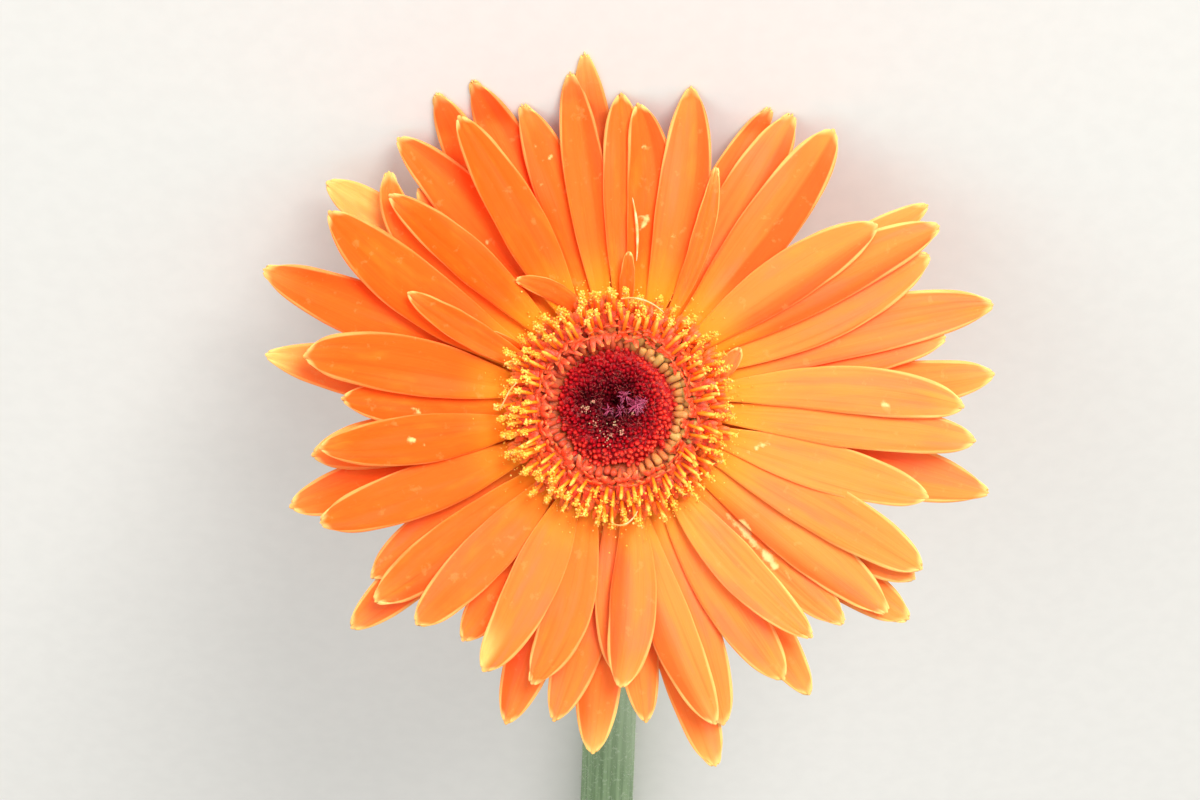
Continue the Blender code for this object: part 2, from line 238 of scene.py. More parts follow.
# a material and its colours, which go by their names: tone is the colour so far, and a tint lays one over it
class Paint:
    def __init__(self, name, colours, roughness, shine=0.5, glow=()):
        self.material = bpy.data.materials.new(name)
        self.material.use_nodes = True
        self.tree = self.material.node_tree
        self.inputs = self.tree.nodes["Principled BSDF"].inputs
        self.inputs["Roughness"].default_value = roughness
        self.inputs["Specular IOR Level"].default_value = shine
        for key, value in zip(("Weight", "Radius", "Scale"), glow):
            self.inputs["Subsurface " + key].default_value = value
        self.colours = {key: screenColour(text) for key, text in colours.items()}
        self.tone = None

    def add(self, kind, inputs=None, **settings):
        made = self.tree.nodes.new("ShaderNode" + kind)
        for key, value in settings.items():
            setattr(made, key, value)
        for key, value in (inputs or {}).items():
            self.feed(made.inputs[key], value)
        return made

    def feed(self, socket, value):
        if isinstance(value, bpy.types.NodeSocket):
            self.tree.links.new(value, socket)
        else:
            socket.default_value = self.colours[value] if isinstance(value, str) else value

    def marks(self, *names):
        return [self.add("Attribute", attribute_name=name).outputs["Fac"] for name in names]

    def maths(self, kind, first, second=0.0):
        return self.add("Math", {0: first, 1: second}, operation=kind).outputs[0]

    def plus(self, first, second):
        return self.maths("ADD", first, second)

    def times(self, first, second):
        return self.maths("MULTIPLY", first, second)

    def ramp(self, value, low, high, least=0.0, most=1.0, kind="SMOOTHSTEP"):
        inputs = {"Value": value, "From Min": low, "From Max": high, "To Min": least, "To Max": most}
        return self.add("MapRange", inputs, interpolation_type=kind).outputs["Result"]

    def blend(self, share, first, second):
        made = self.add("Mix", {"Factor": share}, data_type="RGBA")
        self.feed(made.inputs[6], first)
        self.feed(made.inputs[7], second)
        return made.outputs[2]

    def cover(self, colour, share):
        self.tone = self.blend(share, self.tone, colour)

    def tint(self, colour, value, low, high, least=0.0, most=1.0):
        self.cover(colour, self.ramp(value, low, high, least, most))

    def place(self, x, y, z):
        return self.add("CombineXYZ", {"X": x, "Y": y, "Z": z}).outputs[0]

    # noise in the piece's own space, or about another place
    def cloud(self, scale, detail=2.0, rough=0.5, place=None):
        place = place or self.add("TexCoord").outputs["Object"]
        inputs = {"Vector": place, "Scale": scale, "Detail": detail, "Roughness": rough}
        return self.add("TexNoise", inputs).outputs["Fac"]

    def finished(self, height=None, distance=0.0, strength=0.5):
        self.feed(self.inputs["Base Color"], self.tone)
        if height:
            inputs = {"Height": height, "Distance": distance, "Strength": strength}
            self.feed(self.inputs["Normal"], self.add("Bump", inputs).outputs["Normal"])
        return self.material


# petals

petalSet = {
    "rootRadius": 13.1 * mm,
    "spreadRadius": 50.0 * mm,  # where a layer's tip height is measured
    "rootShare": 0.32,  # of the full width; the lowest petals have fuller roots
    "fullerShare": 0.34,
    "fullness": 1.06,
    "thickness": 0.42 * mm,
    "edgeShare": 0.45,  # of the thickness
    "grid": (16, 54),
    # height at the root, half way and at the tip: the lowest layer's, and the step to the next
    "root": (-1.0 * mm, 0.42 * mm),
    "middle": (-2.2 * mm, 0.95 * mm),
    "tip": (-5.0 * mm, 1.05 * mm),
    "tipStray": 0.6 * mm,
    "tableSoftness": 1.2 * mm,
    # how every petal is where none of its own is given
    "plain": {"bow": 0, "lateTurn": 1.25, "fold": 0, "strawSide": 0, "strawWhole": 0, "finer": 1},
    # what single petals have of their own, by azimuth of the tip
    "own": {
        # how straw yellow the whole petal is, or its tip, or one side of its tip
        "strawWhole": {142.2: 0.75, 95.3: 0.30, 33: 0.25, 171.5: 0.30},
        "strawTip": {243.1: 1, 171.5: 0.9, 95.3: 0.8, 98: 0.5, 266: 0.6, 67.5: 0.4, 132.3: 0.5, 285.4: 0.4},
        "strawSide": {243.1: 1},
        "finer": {316.3: 2, 310.3: 2, 322.8: 2},  # a finer grid under the streak of sap
        # the middle swings sideways by these degrees, the tip turns late, or the widest place moves
        "bow": {26: -1.5, 86.2: -2.5, 243.1: 1.8, 252.8: 3.8, 301.5: -0.5},
        "lateTurn": {134: 5, 170.8: 4},
        "widest": {118.6: 0.46, 243.1: 0.45, 310.3: 0.49, 0: 0.62, 98: 0.6},
        # painted shade over one half, as if that half tilted away from the light: above 0 it is the clockwise
        # half
        "fold": {
            52: 1, 59: 0.7, 77: 0.35, 86.2: 0.7, 98: 0.4, 114: 0.7, 129.2: 0.5, 35: 0.3, 158.7: 0.35,
            218.8: -0.35, 250.7: 0.4, 266: 0.35, 287.3: 0.45, 270.7: 0.35, 322.8: 0.25, 29.3: 0.3,
            171.5: -0.5,
        },
    },
    # dried sap and scars: both ends in mm in the bloom's frame, and width in mm
    "sap": (
        ((16.6, -16.2), (18, -17.5), 0.65), ((18, -17.5), (19.4, -18.9), 0.85),
        ((19.4, -18.9), (21, -20.9), 0.6), ((21, -20.9), (22.4, -22.3), 0.8),
        ((22.4, -22.3), (23.6, -23.9), 0.65), ((25.3, -24.7), (26, -25.8), 0.5),
        ((-30.9, -0.1), (-29.9, -0.5), 0.45), ((-30.6, -4.8), (-30.2, -5), 0.4),
        ((-29, -5.4), (-28.6, -5.6), 0.35), ((19.4, -6.9), (22.6, -5.4), 0.4),
        ((31.2, -7.7), (31.8, -7.9), 0.35), ((39.6, 0.5), (40.4, 0.3), 0.35),
        ((26, -15.6), (26.3, -15.9), 0.35), ((-12.3, 39), (-12.1, 38.9), 0.35),
        ((-10.1, 37.4), (-9.9, 37.3), 0.35), ((-11.2, 37.1), (-11, 37), 0.3),
        ((-11.8, 33.6), (-11.6, 33.5), 0.35), ((0.3, 41.4), (0.5, 41.2), 0.35), ((3.8, 39), (4, 38.9), 0.35),
        ((-1.2, 31.1), (-1, 31), 0.35), ((-19.6, 24.7), (-19.4, 24.6), 0.3), ((7.4, 25.5), (8.4, 25.5), 0.35),
        ((3.7, 26.6), (5.2, 29.3), 0.38), ((3.5, 28.8), (4.8, 28.6), 0.38),
    ),
    # each petal: azimuth of its tip, reach in mm, azimuth of its root, width in mm, layer
    "petals": (
        (0, 52.1, 8.2, 6.8, 5), (5, 57.6, 3, 7.2, 0), (12, 50.8, 12, 6, 1), (15.2, 59.1, 20.5, 7.9, 2),
        (26, 52.4, 25, 7.4, 3), (29.3, 55.7, 33.5, 7.5, 4), (33, 56.4, 34, 5.8, 0), (35, 47.6, 39, 7.3, 5),
        (52, 53, 48.5, 8, 4), (59, 51.5, 58.5, 7.2, 2), (62.8, 50.6, 65, 6, 0), (67.5, 38.7, 59, 2.9, 6),
        (77, 49.2, 69, 7.1, 5), (86.2, 45.6, 80, 6.8, 4.5), (89.3, 47.1, 87, 6, 4),
        (95.3, 52.8, 94.5, 6.5, 0), (98, 50.4, 98, 5.8, 3.2), (107.5, 47.7, 102.5, 6.6, 2),
        (114, 53.4, 111, 7.4, 1), (118.6, 49.7, 116.5, 6.9, 5), (120, 54.3, 122.5, 7, 0),
        (129.2, 52.5, 123.5, 7.6, 2), (132.3, 44.6, 133, 6, 1), (134, 49.4, 142, 6, 3),
        (137, 46.7, 133.5, 5.8, 5), (142.2, 55.8, 139, 7, 0), (145.8, 52.5, 153.5, 8.3, 4),
        (158.7, 57.5, 160, 8.2, 2), (170.8, 47.7, 168.5, 8.3, 4), (171.5, 53.9, 173, 7.8, 0),
        (178.2, 41.4, 179.5, 6.6, 3), (187.8, 45, 190.5, 7, 5), (189, 46.7, 188, 7.5, 1),
        (197, 51.9, 197, 7.5, 0), (201.3, 47.9, 204.5, 7.3, 4), (214.8, 45.2, 213, 7, 1),
        (218.8, 46.7, 221, 7, 3), (219.8, 52.4, 219, 6.8, 0), (227.3, 44.4, 229, 6.9, 4),
        (236.5, 42.2, 238, 6.5, 2), (243.1, 44.4, 242.3, 7.1, 5), (250.7, 51, 251, 7.2, 0),
        (252.8, 43.5, 252.5, 6.9, 4), (258.6, 48.5, 264.5, 7.2, 1), (266, 52.7, 266.5, 7, 0),
        (270, 40.2, 270.5, 6.4, 2), (270.7, 42, 278.5, 6.6, 4), (275.3, 47.9, 274.5, 6.2, 1),
        (285.4, 56.6, 283, 6.8, 0), (287.3, 50, 280.5, 6.5, 3.4), (288.5, 50.7, 290.5, 7, 2),
        (301.5, 48.2, 299.5, 7.3, 3), (303.8, 52.5, 305, 6.5, 0), (310.3, 45.2, 304.3, 6.4, 5),
        (316.3, 47.3, 316, 6.6, 1), (322.8, 51.3, 325.5, 7.5, 2), (324, 54.9, 322, 7.5, 0),
        (330, 52.1, 330, 7, 1), (332, 52.1, 335.5, 7.5, 3), (343.8, 48.8, 343.8, 6.8, 3.4),
        (347, 58.1, 348, 8.3, 0), (354.6, 54.3, 356.6, 6.6, 4), (26, 20.4, 17, 2.5, 6),
        (85.6, 23.3, 85.2, 2.1, 6), (128.5, 24.2, 108, 2.8, 6), (150, 22.2, 152, 2.5, 6),
        (151.3, 35.6, 154.5, 4.1, 6),
    ),
    # each piece and its layers, from and up to
    "pieces": {"petalsLower": (-1, 1.5), "petalsMiddle": (1.5, 3.3), "petalsUpper": (3.3, 9)},
    "colours": {
        "deep": "fa4206", "warm": "fc5606", "litPeach": "ff8b42", "rose": "ff7448", "glow": "ff9028",
        "rimHighlight": "ffc070", "tip": "fbc878", "base": "ffa01e", "straw": "f9c46c", "sap": "f9b870",
        "crust": "f8d492",
    },
}


def layerHeight(radius, layer):
    out = (radius - petalSet["rootRadius"]) / (petalSet["spreadRadius"] - petalSet["rootRadius"])
    root, middle, tip = (petalSet[key][0] + petalSet[key][1] * layer for key in ("root", "middle", "tip"))
    return root * (1 - out) * (1 - 2 * out) + middle * 4 * out * (1 - out) + tip * out * (2 * out - 1)


# a petal bends up along the surface that the flower lies on
def aboveTable(point):
    lift = bloomSeat["lift"]
    clearance = petalSet["thickness"] / 2
    lowest = (clearance - bloomSeat["centre"].z) / sin(lift) + point.y / tan(lift)
    apart = point.z - lowest
    point.z = lowest + (apart + hypot(apart, petalSet["tableSoftness"])) / 2
    return point


# painted light and shade: petals are painted paler towards the lower right, the side that faces the light,
# and paler where they lie on top; lower layers, shaded by the petals above, get less of it, and the lowest
# get a small even lift
def petalPaintedLight(azimuth, layer, stray):
    turned = (0.5 + 0.5 * cos(radians(azimuth + 32))) ** 1.3
    return min(max(turned * (0.66 + 0.09 * layer) + 0.2 * (1 - smooth(0, 4.5, layer)) + stray, 0), 1)


def sapMark(point):
    found = 0.0
    for start, end, width in petalSet["sap"]:
        start, end = Vector(start) * mm, Vector(end) * mm
        share = min(max((point.xy - start).dot(end - start) / (end - start).length_squared, 0), 1)
        strength = 1.0 if width > 0.38 else 0.55  # small flecks are fainter
        found = max(found, strength * bump(0, width * mm, (point.xy - start.lerp(end, share)).length))
    return found


def petalShapes():
    strays, chance = Random(11), Random(4)
    between = chance.uniform
    shapes = []
    for tipAzimuth, reach, rootAzimuth, width, layer in petalSet["petals"]:
        petal = {
            "tipAzimuth": radians(tipAzimuth),
            "rootAzimuth": radians(rootAzimuth),
            "reach": reach * mm,
            "width": width * mm * petalSet["fullness"],
            "layer": layer,
            "stray": strays.uniform(-1, 1) * petalSet["tipStray"],
            "camber": between(-0.35, 0.45) * mm,
            "roll": radians(between(-4, 4)),
            "ripple": between(0.05, 0.22) * mm,
            "phase": between(0, tau),
            "point": between(0.46, 0.70),  # how pointed the tip is
            "blunt": between(0.12, 0.20),
            "widest": between(0.51, 0.60),
            "strawTip": between(0, 0.3),
            "teeth": chance.choice((2, 2, 3)),
            "toothDepth": between(0.15, 0.5) * mm,
            "crease": between(0.02, 0.10) * mm,
            "creaseAt": (between(0.22, 0.5), between(-0.5, -0.22)),
            "seed": chance.random(),
            "pale": petalPaintedLight(tipAzimuth, layer, between(-0.1, 0.12)),
            **petalSet["plain"],
        }
        for key, values in petalSet["own"].items():
            petal[key] = values.get(tipAzimuth, petal[key])
        shapes.append(SimpleNamespace(**petal))
    return shapes


# a petal's rows stand closer towards its tip
def petalAlong(gridAlong):
    return 1 - (1 - gridAlong) ** 1.35


def petalPlacer(petal):
    rootRadius = petalSet["rootRadius"]
    turnAngle = petal.tipAzimuth - petal.rootAzimuth
    rootShare = petalSet["rootShare"] + petalSet["fullerShare"] * (1 - smooth(0, 3.5, petal.layer))
    bow, widest, blunt = radians(petal.bow), petal.widest, petal.blunt

    def middle(along):
        along = max(along, 0)
        azimuth = petal.rootAzimuth + turnAngle * along ** petal.lateTurn
        azimuth += bow * sin(pi * along)
        return onCircle(azimuth, rootRadius + (petal.reach - rootRadius) * along)

    # the outline: half the width as a share of the widest
    def share(along):
        if along < widest:
            return rootShare + (1 - rootShare) * sin(pi / 2 * along / widest) ** 1.25
        past = (along - widest) / (1 - widest)
        return blunt + (1 - blunt) * max(1 - past**2.05, 0) ** petal.point

    def place(gridAlong, across):
        along = petalAlong(gridAlong)
        forward = (middle(along + 0.01) - middle(along - 0.01)).normalized()
        sideways = Vector((forward.y, -forward.x, 0))
        halfWidth = petal.width / 2 * share(along)
        wobble = 0.12 * mm * noise.noise(Vector((along * 7, petal.seed * 90, 3 + (across > 0))))
        point = middle(along) + sideways * (across * halfWidth + (across**3) * wobble)
        # the tip is notched, and its corners are drawn back
        nearTip = along**14
        notch = (1 - cos(petal.teeth * pi * across)) / 2
        point -= forward * (petal.toothDepth * notch * nearTip)
        point -= forward * (0.75 * halfWidth * across * across * nearTip)
        # camber, roll, two creases beside a low rib, and a rippled edge
        swell = sin(pi * min(along * 1.15, 1)) ** 0.8
        height = petal.camber * across * across * swell
        height += tan(petal.roll) * across * halfWidth * smooth(0.1, 0.5, along)
        for creaseAt in petal.creaseAt:
            height -= petal.crease * bump(creaseAt, 0.12, across) * smooth(0, 0.2, along)
        height += petal.crease * 0.7 * bump(0, 0.16, across) * smooth(0.2, 0.9, along)
        height += petal.ripple * across * abs(across) * sin(along * 11 + petal.phase)
        height += petal.stray * along**3
        point.z = layerHeight(point.xy.length, petal.layer) + height
        return aboveTable(point)

    return place


def petalPaint():
    paint = Paint("petalSkin", petalSet["colours"], 0.6, 0.08, glow=(0.25, (1.0, 0.35, 0.08), 1.2 * mm))
    along, across, seed, pale = paint.marks("along", "across", "seed", "pale")
    straw, sap, fold = paint.marks("straw", "sap", "fold")
    shift = paint.times(seed, 41.0)

    # noise drawn out along the petal
    def grain(acrossScale, alongScale, detail):
        place = paint.place(paint.times(across, acrossScale), paint.times(along, alongScale), shift)
        return paint.cloud(1.0, detail, place=place)

    broad, patch = grain(1.3, 2.2, 2.0), grain(1.9, 5.0, 3.0)
    streak, vein = grain(3.6, 1.0, 2.0), grain(17.0, 1.8, 2.0)
    # pale carries the painted light and shade: warm where painted shaded, peach where painted lit, and the
    # rose flush shows most on the painted lit side
    paint.tone = paint.blend(pale, "warm", "litPeach")
    flush = paint.times(paint.ramp(broad, 0.45, 0.72, most=0.7), paint.ramp(pale, 0.0, 0.7, 0.15))
    paint.cover("rose", flush)
    paint.tint("glow", patch, 0.5, 0.8, most=0.24)
    paint.tint("deep", streak, 0.5, 0.85, most=0.36)
    paint.tint("deep", vein, 0.5, 0.85, most=0.2)
    # painted shade: one half of the petal is painted deeper
    shadedHalf = paint.plus(paint.times(across, fold), paint.times(streak, 0.1))
    paint.tint("deep", shadedHalf, 0.04, 0.3, most=0.62)
    paint.tint("base", along, 0.0, 0.36, 0.8, 0.0)
    paint.cover("straw", paint.times(straw, paint.ramp(patch, 0.2, 0.6, 1.0, 0.6)))
    # painted highlight along the thin edges and towards the tip, where light shines through, brightest on the
    # painted lit side
    edge = paint.maths("ABSOLUTE", across)
    rimHighlight = paint.ramp(paint.plus(edge, paint.ramp(along, 0.55, 1.0, most=0.16)), 0.92, 1.0)
    rimHighlight = paint.times(rimHighlight, paint.ramp(patch, 0.3, 0.7, 0.9, 0.45))
    rimHighlight = paint.times(rimHighlight, paint.ramp(along, 0.3, 0.92, 0.3))
    paint.cover("rimHighlight", paint.times(rimHighlight, paint.ramp(pale, 0.1, 0.6, 0.62)))
    paint.tint("tip", paint.plus(along, paint.times(edge, 0.02)), 0.965, 1.01, most=0.8)
    ragged = paint.plus(sap, paint.ramp(paint.cloud(480.0, 5.0, 0.6), 0.3, 0.7, -0.85, 0.14))
    crust = paint.ramp(ragged, 0.0, 0.55, most=0.85)
    paint.cover("sap", crust)
    paint.tint("crust", ragged, 0.25, 0.95, most=0.9)
    height = paint.plus(paint.times(vein, 0.5), paint.times(patch, 0.6))
    return paint.finished(paint.plus(height, paint.times(crust, 1.5)), 0.11 * mm, 0.6)


def strawMark(petal, along, across):
    side = petal.strawSide
    nearTip = smooth(0.72 - 0.14 * side, 1.0 - 0.12 * side, along)
    return petal.strawWhole + petal.strawTip * nearTip * (1 - side * (1 - smooth(-0.25, 0.35, across)))


def makePetals():
    material = petalPaint()
    shapes = petalShapes()
    edgeShare = petalSet["edgeShare"]
    for name, (first, last) in petalSet["pieces"].items():
        heap = Heap()
        for petal in shapes:
            if not first <= petal.layer < last:
                continue
            placer = petalPlacer(petal)
            marks = {
                "along": lambda along, across: petalAlong(along),
                "across": lambda along, across: across,
                "body": lambda along, across: edgeShare + (1 - edgeShare) * (1 - across**4),
                "straw": lambda along, across: strawMark(petal, along, across),
                "sap": lambda along, across: sapMark(placer(along, across)),
                "seed": petal.seed, "pale": petal.pale, "fold": petal.fold,
            }
            columns, rows = (count * petal.finer for count in petalSet["grid"])
            addSkin(heap, columns, rows, placer, marks)
        piece = makePiece(name, heap, material, "ray_florets")
        body = piece.vertex_groups.new(name="body")
        for index, item in enumerate(piece.data.attributes["body"].data):
            body.add([index], item.value, "REPLACE")
        thicken(piece, petalSet["thickness"], "body")


# closed buds on their dome

budSet = {
    "count": 620,
    "spread": 9.6 * mm,
    "inset": 0.9 * mm,  # how far the edge falls short on the upper right
    "crowding": 0.54,  # over a half crowds the middle
    "length": 1.9 * mm,
    "radii": (0.34 * mm, 0.52 * mm),  # in the middle and at the edge
    "lean": radians(38),
    "goldenAngle": radians(137.508),
    # the skin that they grow from: its radius, how far below their tops it lies, and its underside
    "base": (8.3 * mm, 0.85 * mm, -1.4 * mm),
    "baseRings": 10,
    "baseSteps": 48,
    # hollows among the buds: where, how wide and how deep
    "hollows": ((-4.9, 1.0, 1.5, 1.9), (-0.4, 0.7, 0.8, 1.9), (1.6, 3.6, 1.4, 0.7), (-1.4, -2.6, 1.6, 0.6)),
    "bristles": 760,
    # the tuft in the middle: where its strands start, how many and how far they spread
    "tufts": (
        (2.8, 0.3, 74, 1.6), (1.1, 1.6, 26, 1.0), (-1.3, -0.4, 20, 1.0),
        (0.6, -0.5, 22, 1.0), (4.0, 0.8, 14, 0.9),
    ),
    # clots of pale grains: where, how many and how far they spread
    "clots": (
        (-4.6, -0.3, 26, 0.5), (-3.6, 0.8, 12, 0.3), (-0.9, -4.2, 10, 0.4), (0.8, -3.9, 14, 0.45),
        (2.4, -1.0, 9, 0.4), (-3.0, -2.7, 12, 1.0), (-0.5, -2.3, 8, 0.8), (-1.6, -4.8, 14, 1.2),
    ),
    "colours": {"core": "40020c", "inner": "740614", "middle": "aa0c18", "outer": "d82824", "lip": "f0603e"},
    "strandColours": {"violet": "8a1a40", "pink": "c0567a", "cream": "b09a70", "glint": "cc6a62"},
}


# 1 on the side where the opened florets reach further in, 0 opposite
def inward(azimuth, power=1.5):
    return (0.5 + 0.5 * cos(azimuth - floretSet["widestSide"])) ** power


def budTop(radius):
    share = radius / budSet["spread"]
    return (4.1 + 1.2 * smooth(0, 0.55, share) - 1.5 * smooth(0.72, 1.05, share)) * mm


def hollowDepth(place):
    return sum(
        deep * mm * bump(0, wide * mm, (place.xy - Vector((x, y)) * mm).length)
        for x, y, wide, deep in budSet["hollows"]
    )


def onBuds(x, y, above=0.0):
    flat = Vector((x, y, 0)) * mm
    return flat + up(budTop(flat.length) - hollowDepth(flat) + above)


def budPaint():
    paint = Paint("budSkin", budSet["colours"], 0.42, 0.12, glow=(0.5, (1.0, 0.16, 0.12), 0.8 * mm))
    out, rise, seed = paint.marks("out", "rise", "seed")
    out = paint.plus(out, paint.ramp(seed, 0, 1, -0.09, 0.09, kind="LINEAR"))
    mottle = paint.cloud(1800.0)
    paint.tone = paint.blend(paint.ramp(out, 0.1, 0.46), "core", "inner")
    paint.tint("middle", out, 0.38, 0.72)
    paint.tint("outer", out, 0.64, 0.96)
    paint.cover("lip", paint.times(paint.ramp(out, 0.7, 1.0), paint.ramp(rise, 0.7, 1.0, most=0.6)))
    paint.tint("inner", mottle, 0.35, 0.7, 0.3, 0.0)
    # painted shade: buds darker towards their roots, between one another
    paint.tint("inner", rise, 0.1, 0.55, 0.3, 0.0)
    return paint.finished(mottle, 0.05 * mm, 0.4)


def makeBuds():
    heap = Heap()
    chance = Random(21)
    between, spread, count = chance.uniform, budSet["spread"], budSet["count"]
    edge, sunk, underside = budSet["base"]
    steps = [edge * step / budSet["baseRings"] for step in range(budSet["baseRings"] + 1)]
    profile = [(radius, budTop(radius) - sunk) for radius in steps]
    profile += [(edge + 0.05 * mm, underside), (0, underside)]
    # the skin between the buds takes the painted shade of the buds' roots
    baseMarks = {"out": lambda radius, height: radius / spread, "rise": 0.1, "seed": 0.5}
    addTurned(heap, profile, budSet["baseSteps"], baseMarks)
    for vertex in heap.batch.verts:
        if vertex.co.z > 0:
            vertex.co.z -= hollowDepth(vertex.co)
    for number in range(count):
        share = ((number + 0.5) / count) ** budSet["crowding"]
        nearEdge = smooth(0.8, 1.0, share)
        azimuth = number * budSet["goldenAngle"] + between(-0.02, 0.02)
        lean = budSet["lean"] * (share - 0.4)
        direction = outward(azimuth + between(-0.6, 0.6), lean + between(-0.14, 0.14))
        small, large = budSet["radii"]
        radius = (small + (large - small) * share) * between(0.8, 1.15)
        reach = spread - budSet["inset"] * inward(azimuth, 4)
        place = onCircle(azimuth, reach * share + between(-0.4, 0.4) * mm * (share + nearEdge))
        stray = chance.gauss(0, 0.22) + between(-0.3, 0.6) * nearEdge
        place.z = budTop(spread * share) - hollowDepth(place) + stray * mm
        length = budSet["length"] * (1 + 0.6 * nearEdge * chance.random())
        # painted light and shade: buds are lighter and redder towards the lower right, as on the lit side,
        # and darker in the hollows as painted shade
        litSide = 0.18 * cos(azimuth + radians(40)) * share
        out = share + litSide - 0.25 * smooth(0, 1, hollowDepth(place) / mm)
        middle = place - direction * (length / 2)
        marks = {"out": out, "seed": chance.random(), "rise": lambda rise: rise}
        # a bud tapers to its top, where five lobes meet
        for vertex in addBead(heap, middle, direction, length, radius, marks):
            apart = vertex.co - middle
            along = apart.dot(direction) / length + 0.5
            sideways = apart - direction * apart.dot(direction)
            vertex.co -= sideways * (0.25 * smooth(0.3, 1, along))
            if along >= 0.75:
                vertex.co += sideways * (0.14 * cos(5 * atan2(sideways.y, sideways.x)))
    makePiece("closedBuds", heap, budPaint(), "disc_florets")


def strandPaint():
    paint = Paint("strandSkin", budSet["strandColours"], 0.45)
    kind, seed = paint.marks("kind", "seed")
    paint.tone = paint.blend(paint.ramp(seed, 0, 1), "violet", "pink")
    paint.tint("glint", kind, 0.5, 1.0)
    paint.tint(paint.blend(seed, "cream", "glint"), kind, 1.5, 2.0)
    return paint.finished()


# what lies on the buds: kind 0 is the tuft's strands, 1 is bristles and 2 is pale grains
def makeStrands():
    heap = Heap()
    chance = Random(33)
    between, gauss = chance.uniform, chance.gauss
    for x, y, count, spread in budSet["tufts"]:
        for _ in range(count):
            azimuth = between(0, tau)
            away = onCircle(azimuth, between(0.5, 1.0) * spread * mm)
            root = onBuds(x + 0.3 * gauss(0, spread / 2), y + 0.3 * gauss(0, spread / 2), -0.5 * mm)
            rise = between(0.4, 0.95) * mm
            points = root, root + away * 0.35 + up(rise + 0.3 * mm), root + away + up(rise)
            marks = {"kind": 0.0, "seed": chance.random()}
            size = between(0.05, 0.09) * mm
            sideways = onCircle(azimuth + pi / 2, 1)
            addRound(heap, 5, 6, points, lambda along: size * (1.1 - 0.6 * along), sideways, marks)
    for _ in range(budSet["bristles"]):
        azimuth = between(0, tau)
        radius = budSet["spread"] / mm * sqrt(between(0.02, 0.95))
        root = onBuds(radius * cos(azimuth), radius * sin(azimuth), -0.2 * mm)
        direction = outward(between(0, tau), between(0.2, 1.3))
        length = between(0.5, 1.0) * mm
        addHair(heap, root, direction, length, 0.03 * mm, {"kind": 1.0, "seed": chance.random()})
    for x, y, count, spread in budSet["clots"]:
        apart = spread * 0.55
        for _ in range(count):
            middle = onBuds(x + gauss(0, apart), y + gauss(0, apart), between(-0.15, 0.25) * mm)
            addGrain(heap, middle, between(0.07, 0.17) * mm, {"kind": 2.0, "seed": chance.random()})
    makePiece("budStrands", heap, strandPaint(), "disc_florets")


# opened florets

floretSet = {
    # each row, the first still shut: radius and height of its roots, its mouths and its rods' tips, in mm
    "rows": (
        (9.0, 3.1, 10.7, 4.9, 12.6, 7.0), (9.7, 2.2, 11.5, 5.1, 13.9, 7.3), (10.5, 1.6, 12.6, 4.8, 15.2, 6.9),
        (11.2, 1.2, 13.7, 4.3, 16.3, 6.2), (11.8, 0.9, 14.6, 3.7, 17.3, 5.3),
    ),
    # by row: how many, how much further in they stand on the widest side, and how many are forked or dusty
    "perRow": (54, 44, 44, 44, 44),
    "inset": (0.8 * mm, 0.5 * mm, 0.2 * mm, 0, 0),
    "forked": (0, 0.1, 0.3, 0.7, 0.8),
    "dusted": (0, 0.2, 0.6, 0.9, 1.0),
    # the bed that they grow from: radius and height in mm
    "bed": (
        (0, -0.6), (7.6, -0.5), (7.8, 2.4), (8.6, 3.5), (10.0, 4.0),
        (11.2, 4.0), (12.8, 3.0), (14.0, 1.6), (14.2, 0.2), (0, -1.1),
    ),
    "bedSteps": 96,
    # the sides where the ring is widest, where the tubes are yellow green and where most pollen is
    "widestSide": radians(45),
    "greenest": radians(15),
    "dusty": radians(155),
    "tubeRadii": (0.58 * mm, 0.76 * mm),
    "rodRadius": 0.27 * mm,
    "lipLength": 2.2 * mm,
    "lipWidth": 1.7 * mm,
    "lobeLength": 1.5 * mm,
    "lobeWidth": 1.15 * mm,
    "pollen": 8000,
    "settled": 260,
    "colours": {
        "root": "b0502a", "tube": "cca85e", "warmTube": "c24a2c", "throat": "e4623a",
        "coral": "e03a14", "flush": "ee5434", "edge": "fc8c48", "outer": "f2701c",
    },
    "rodColours": {"root": "ea5a0a", "rod": "ff860e", "tip": "ffb844", "dust": "ffc860"},
    "pollenColours": {"amber": "ff961c", "yellow": "ffb836", "pale": "ffcc6a"},
}


def floretShapes():
    chance = Random(8)
    between = chance.uniform
    florets = []
    for row, sizes in enumerate(floretSet["rows"]):
        rootRadius, rootHeight, mouthRadius, mouthHeight, tipRadius, tipHeight = sizes
        perRow = floretSet["perRow"][row]
        for number in range(perRow):
            azimuth = tau * (number + 0.4 * row + between(-0.28, 0.28)) / perRow
            swing, stray = between(-0.045, 0.045), between(-0.5, 0.5)
            inset = floretSet["inset"][row] * inward(azimuth)
            root = onCircle(azimuth, (rootRadius + between(-0.3, 0.3)) * mm - inset, rootHeight * mm)
            green = 0.15 + 0.75 * cos(azimuth - floretSet["greenest"]) + between(-0.3, 0.3)
            mouthReach = (mouthRadius + stray) * mm - inset
            mouth = onCircle(azimuth, mouthReach, (mouthHeight + between(-0.6, 0.4)) * mm)
            tipReach = (tipRadius + stray + between(-0.5, 0.5)) * mm
            florets.append(SimpleNamespace(
                row=row, azimuth=azimuth, root=root, mouth=mouth,
                tip=onCircle(azimuth + swing, tipReach, (tipHeight + between(-0.5, 0.4)) * mm),
                green=min(max(green, 0), 1), size=between(0.9, 1.1), seed=chance.random()))
    return florets


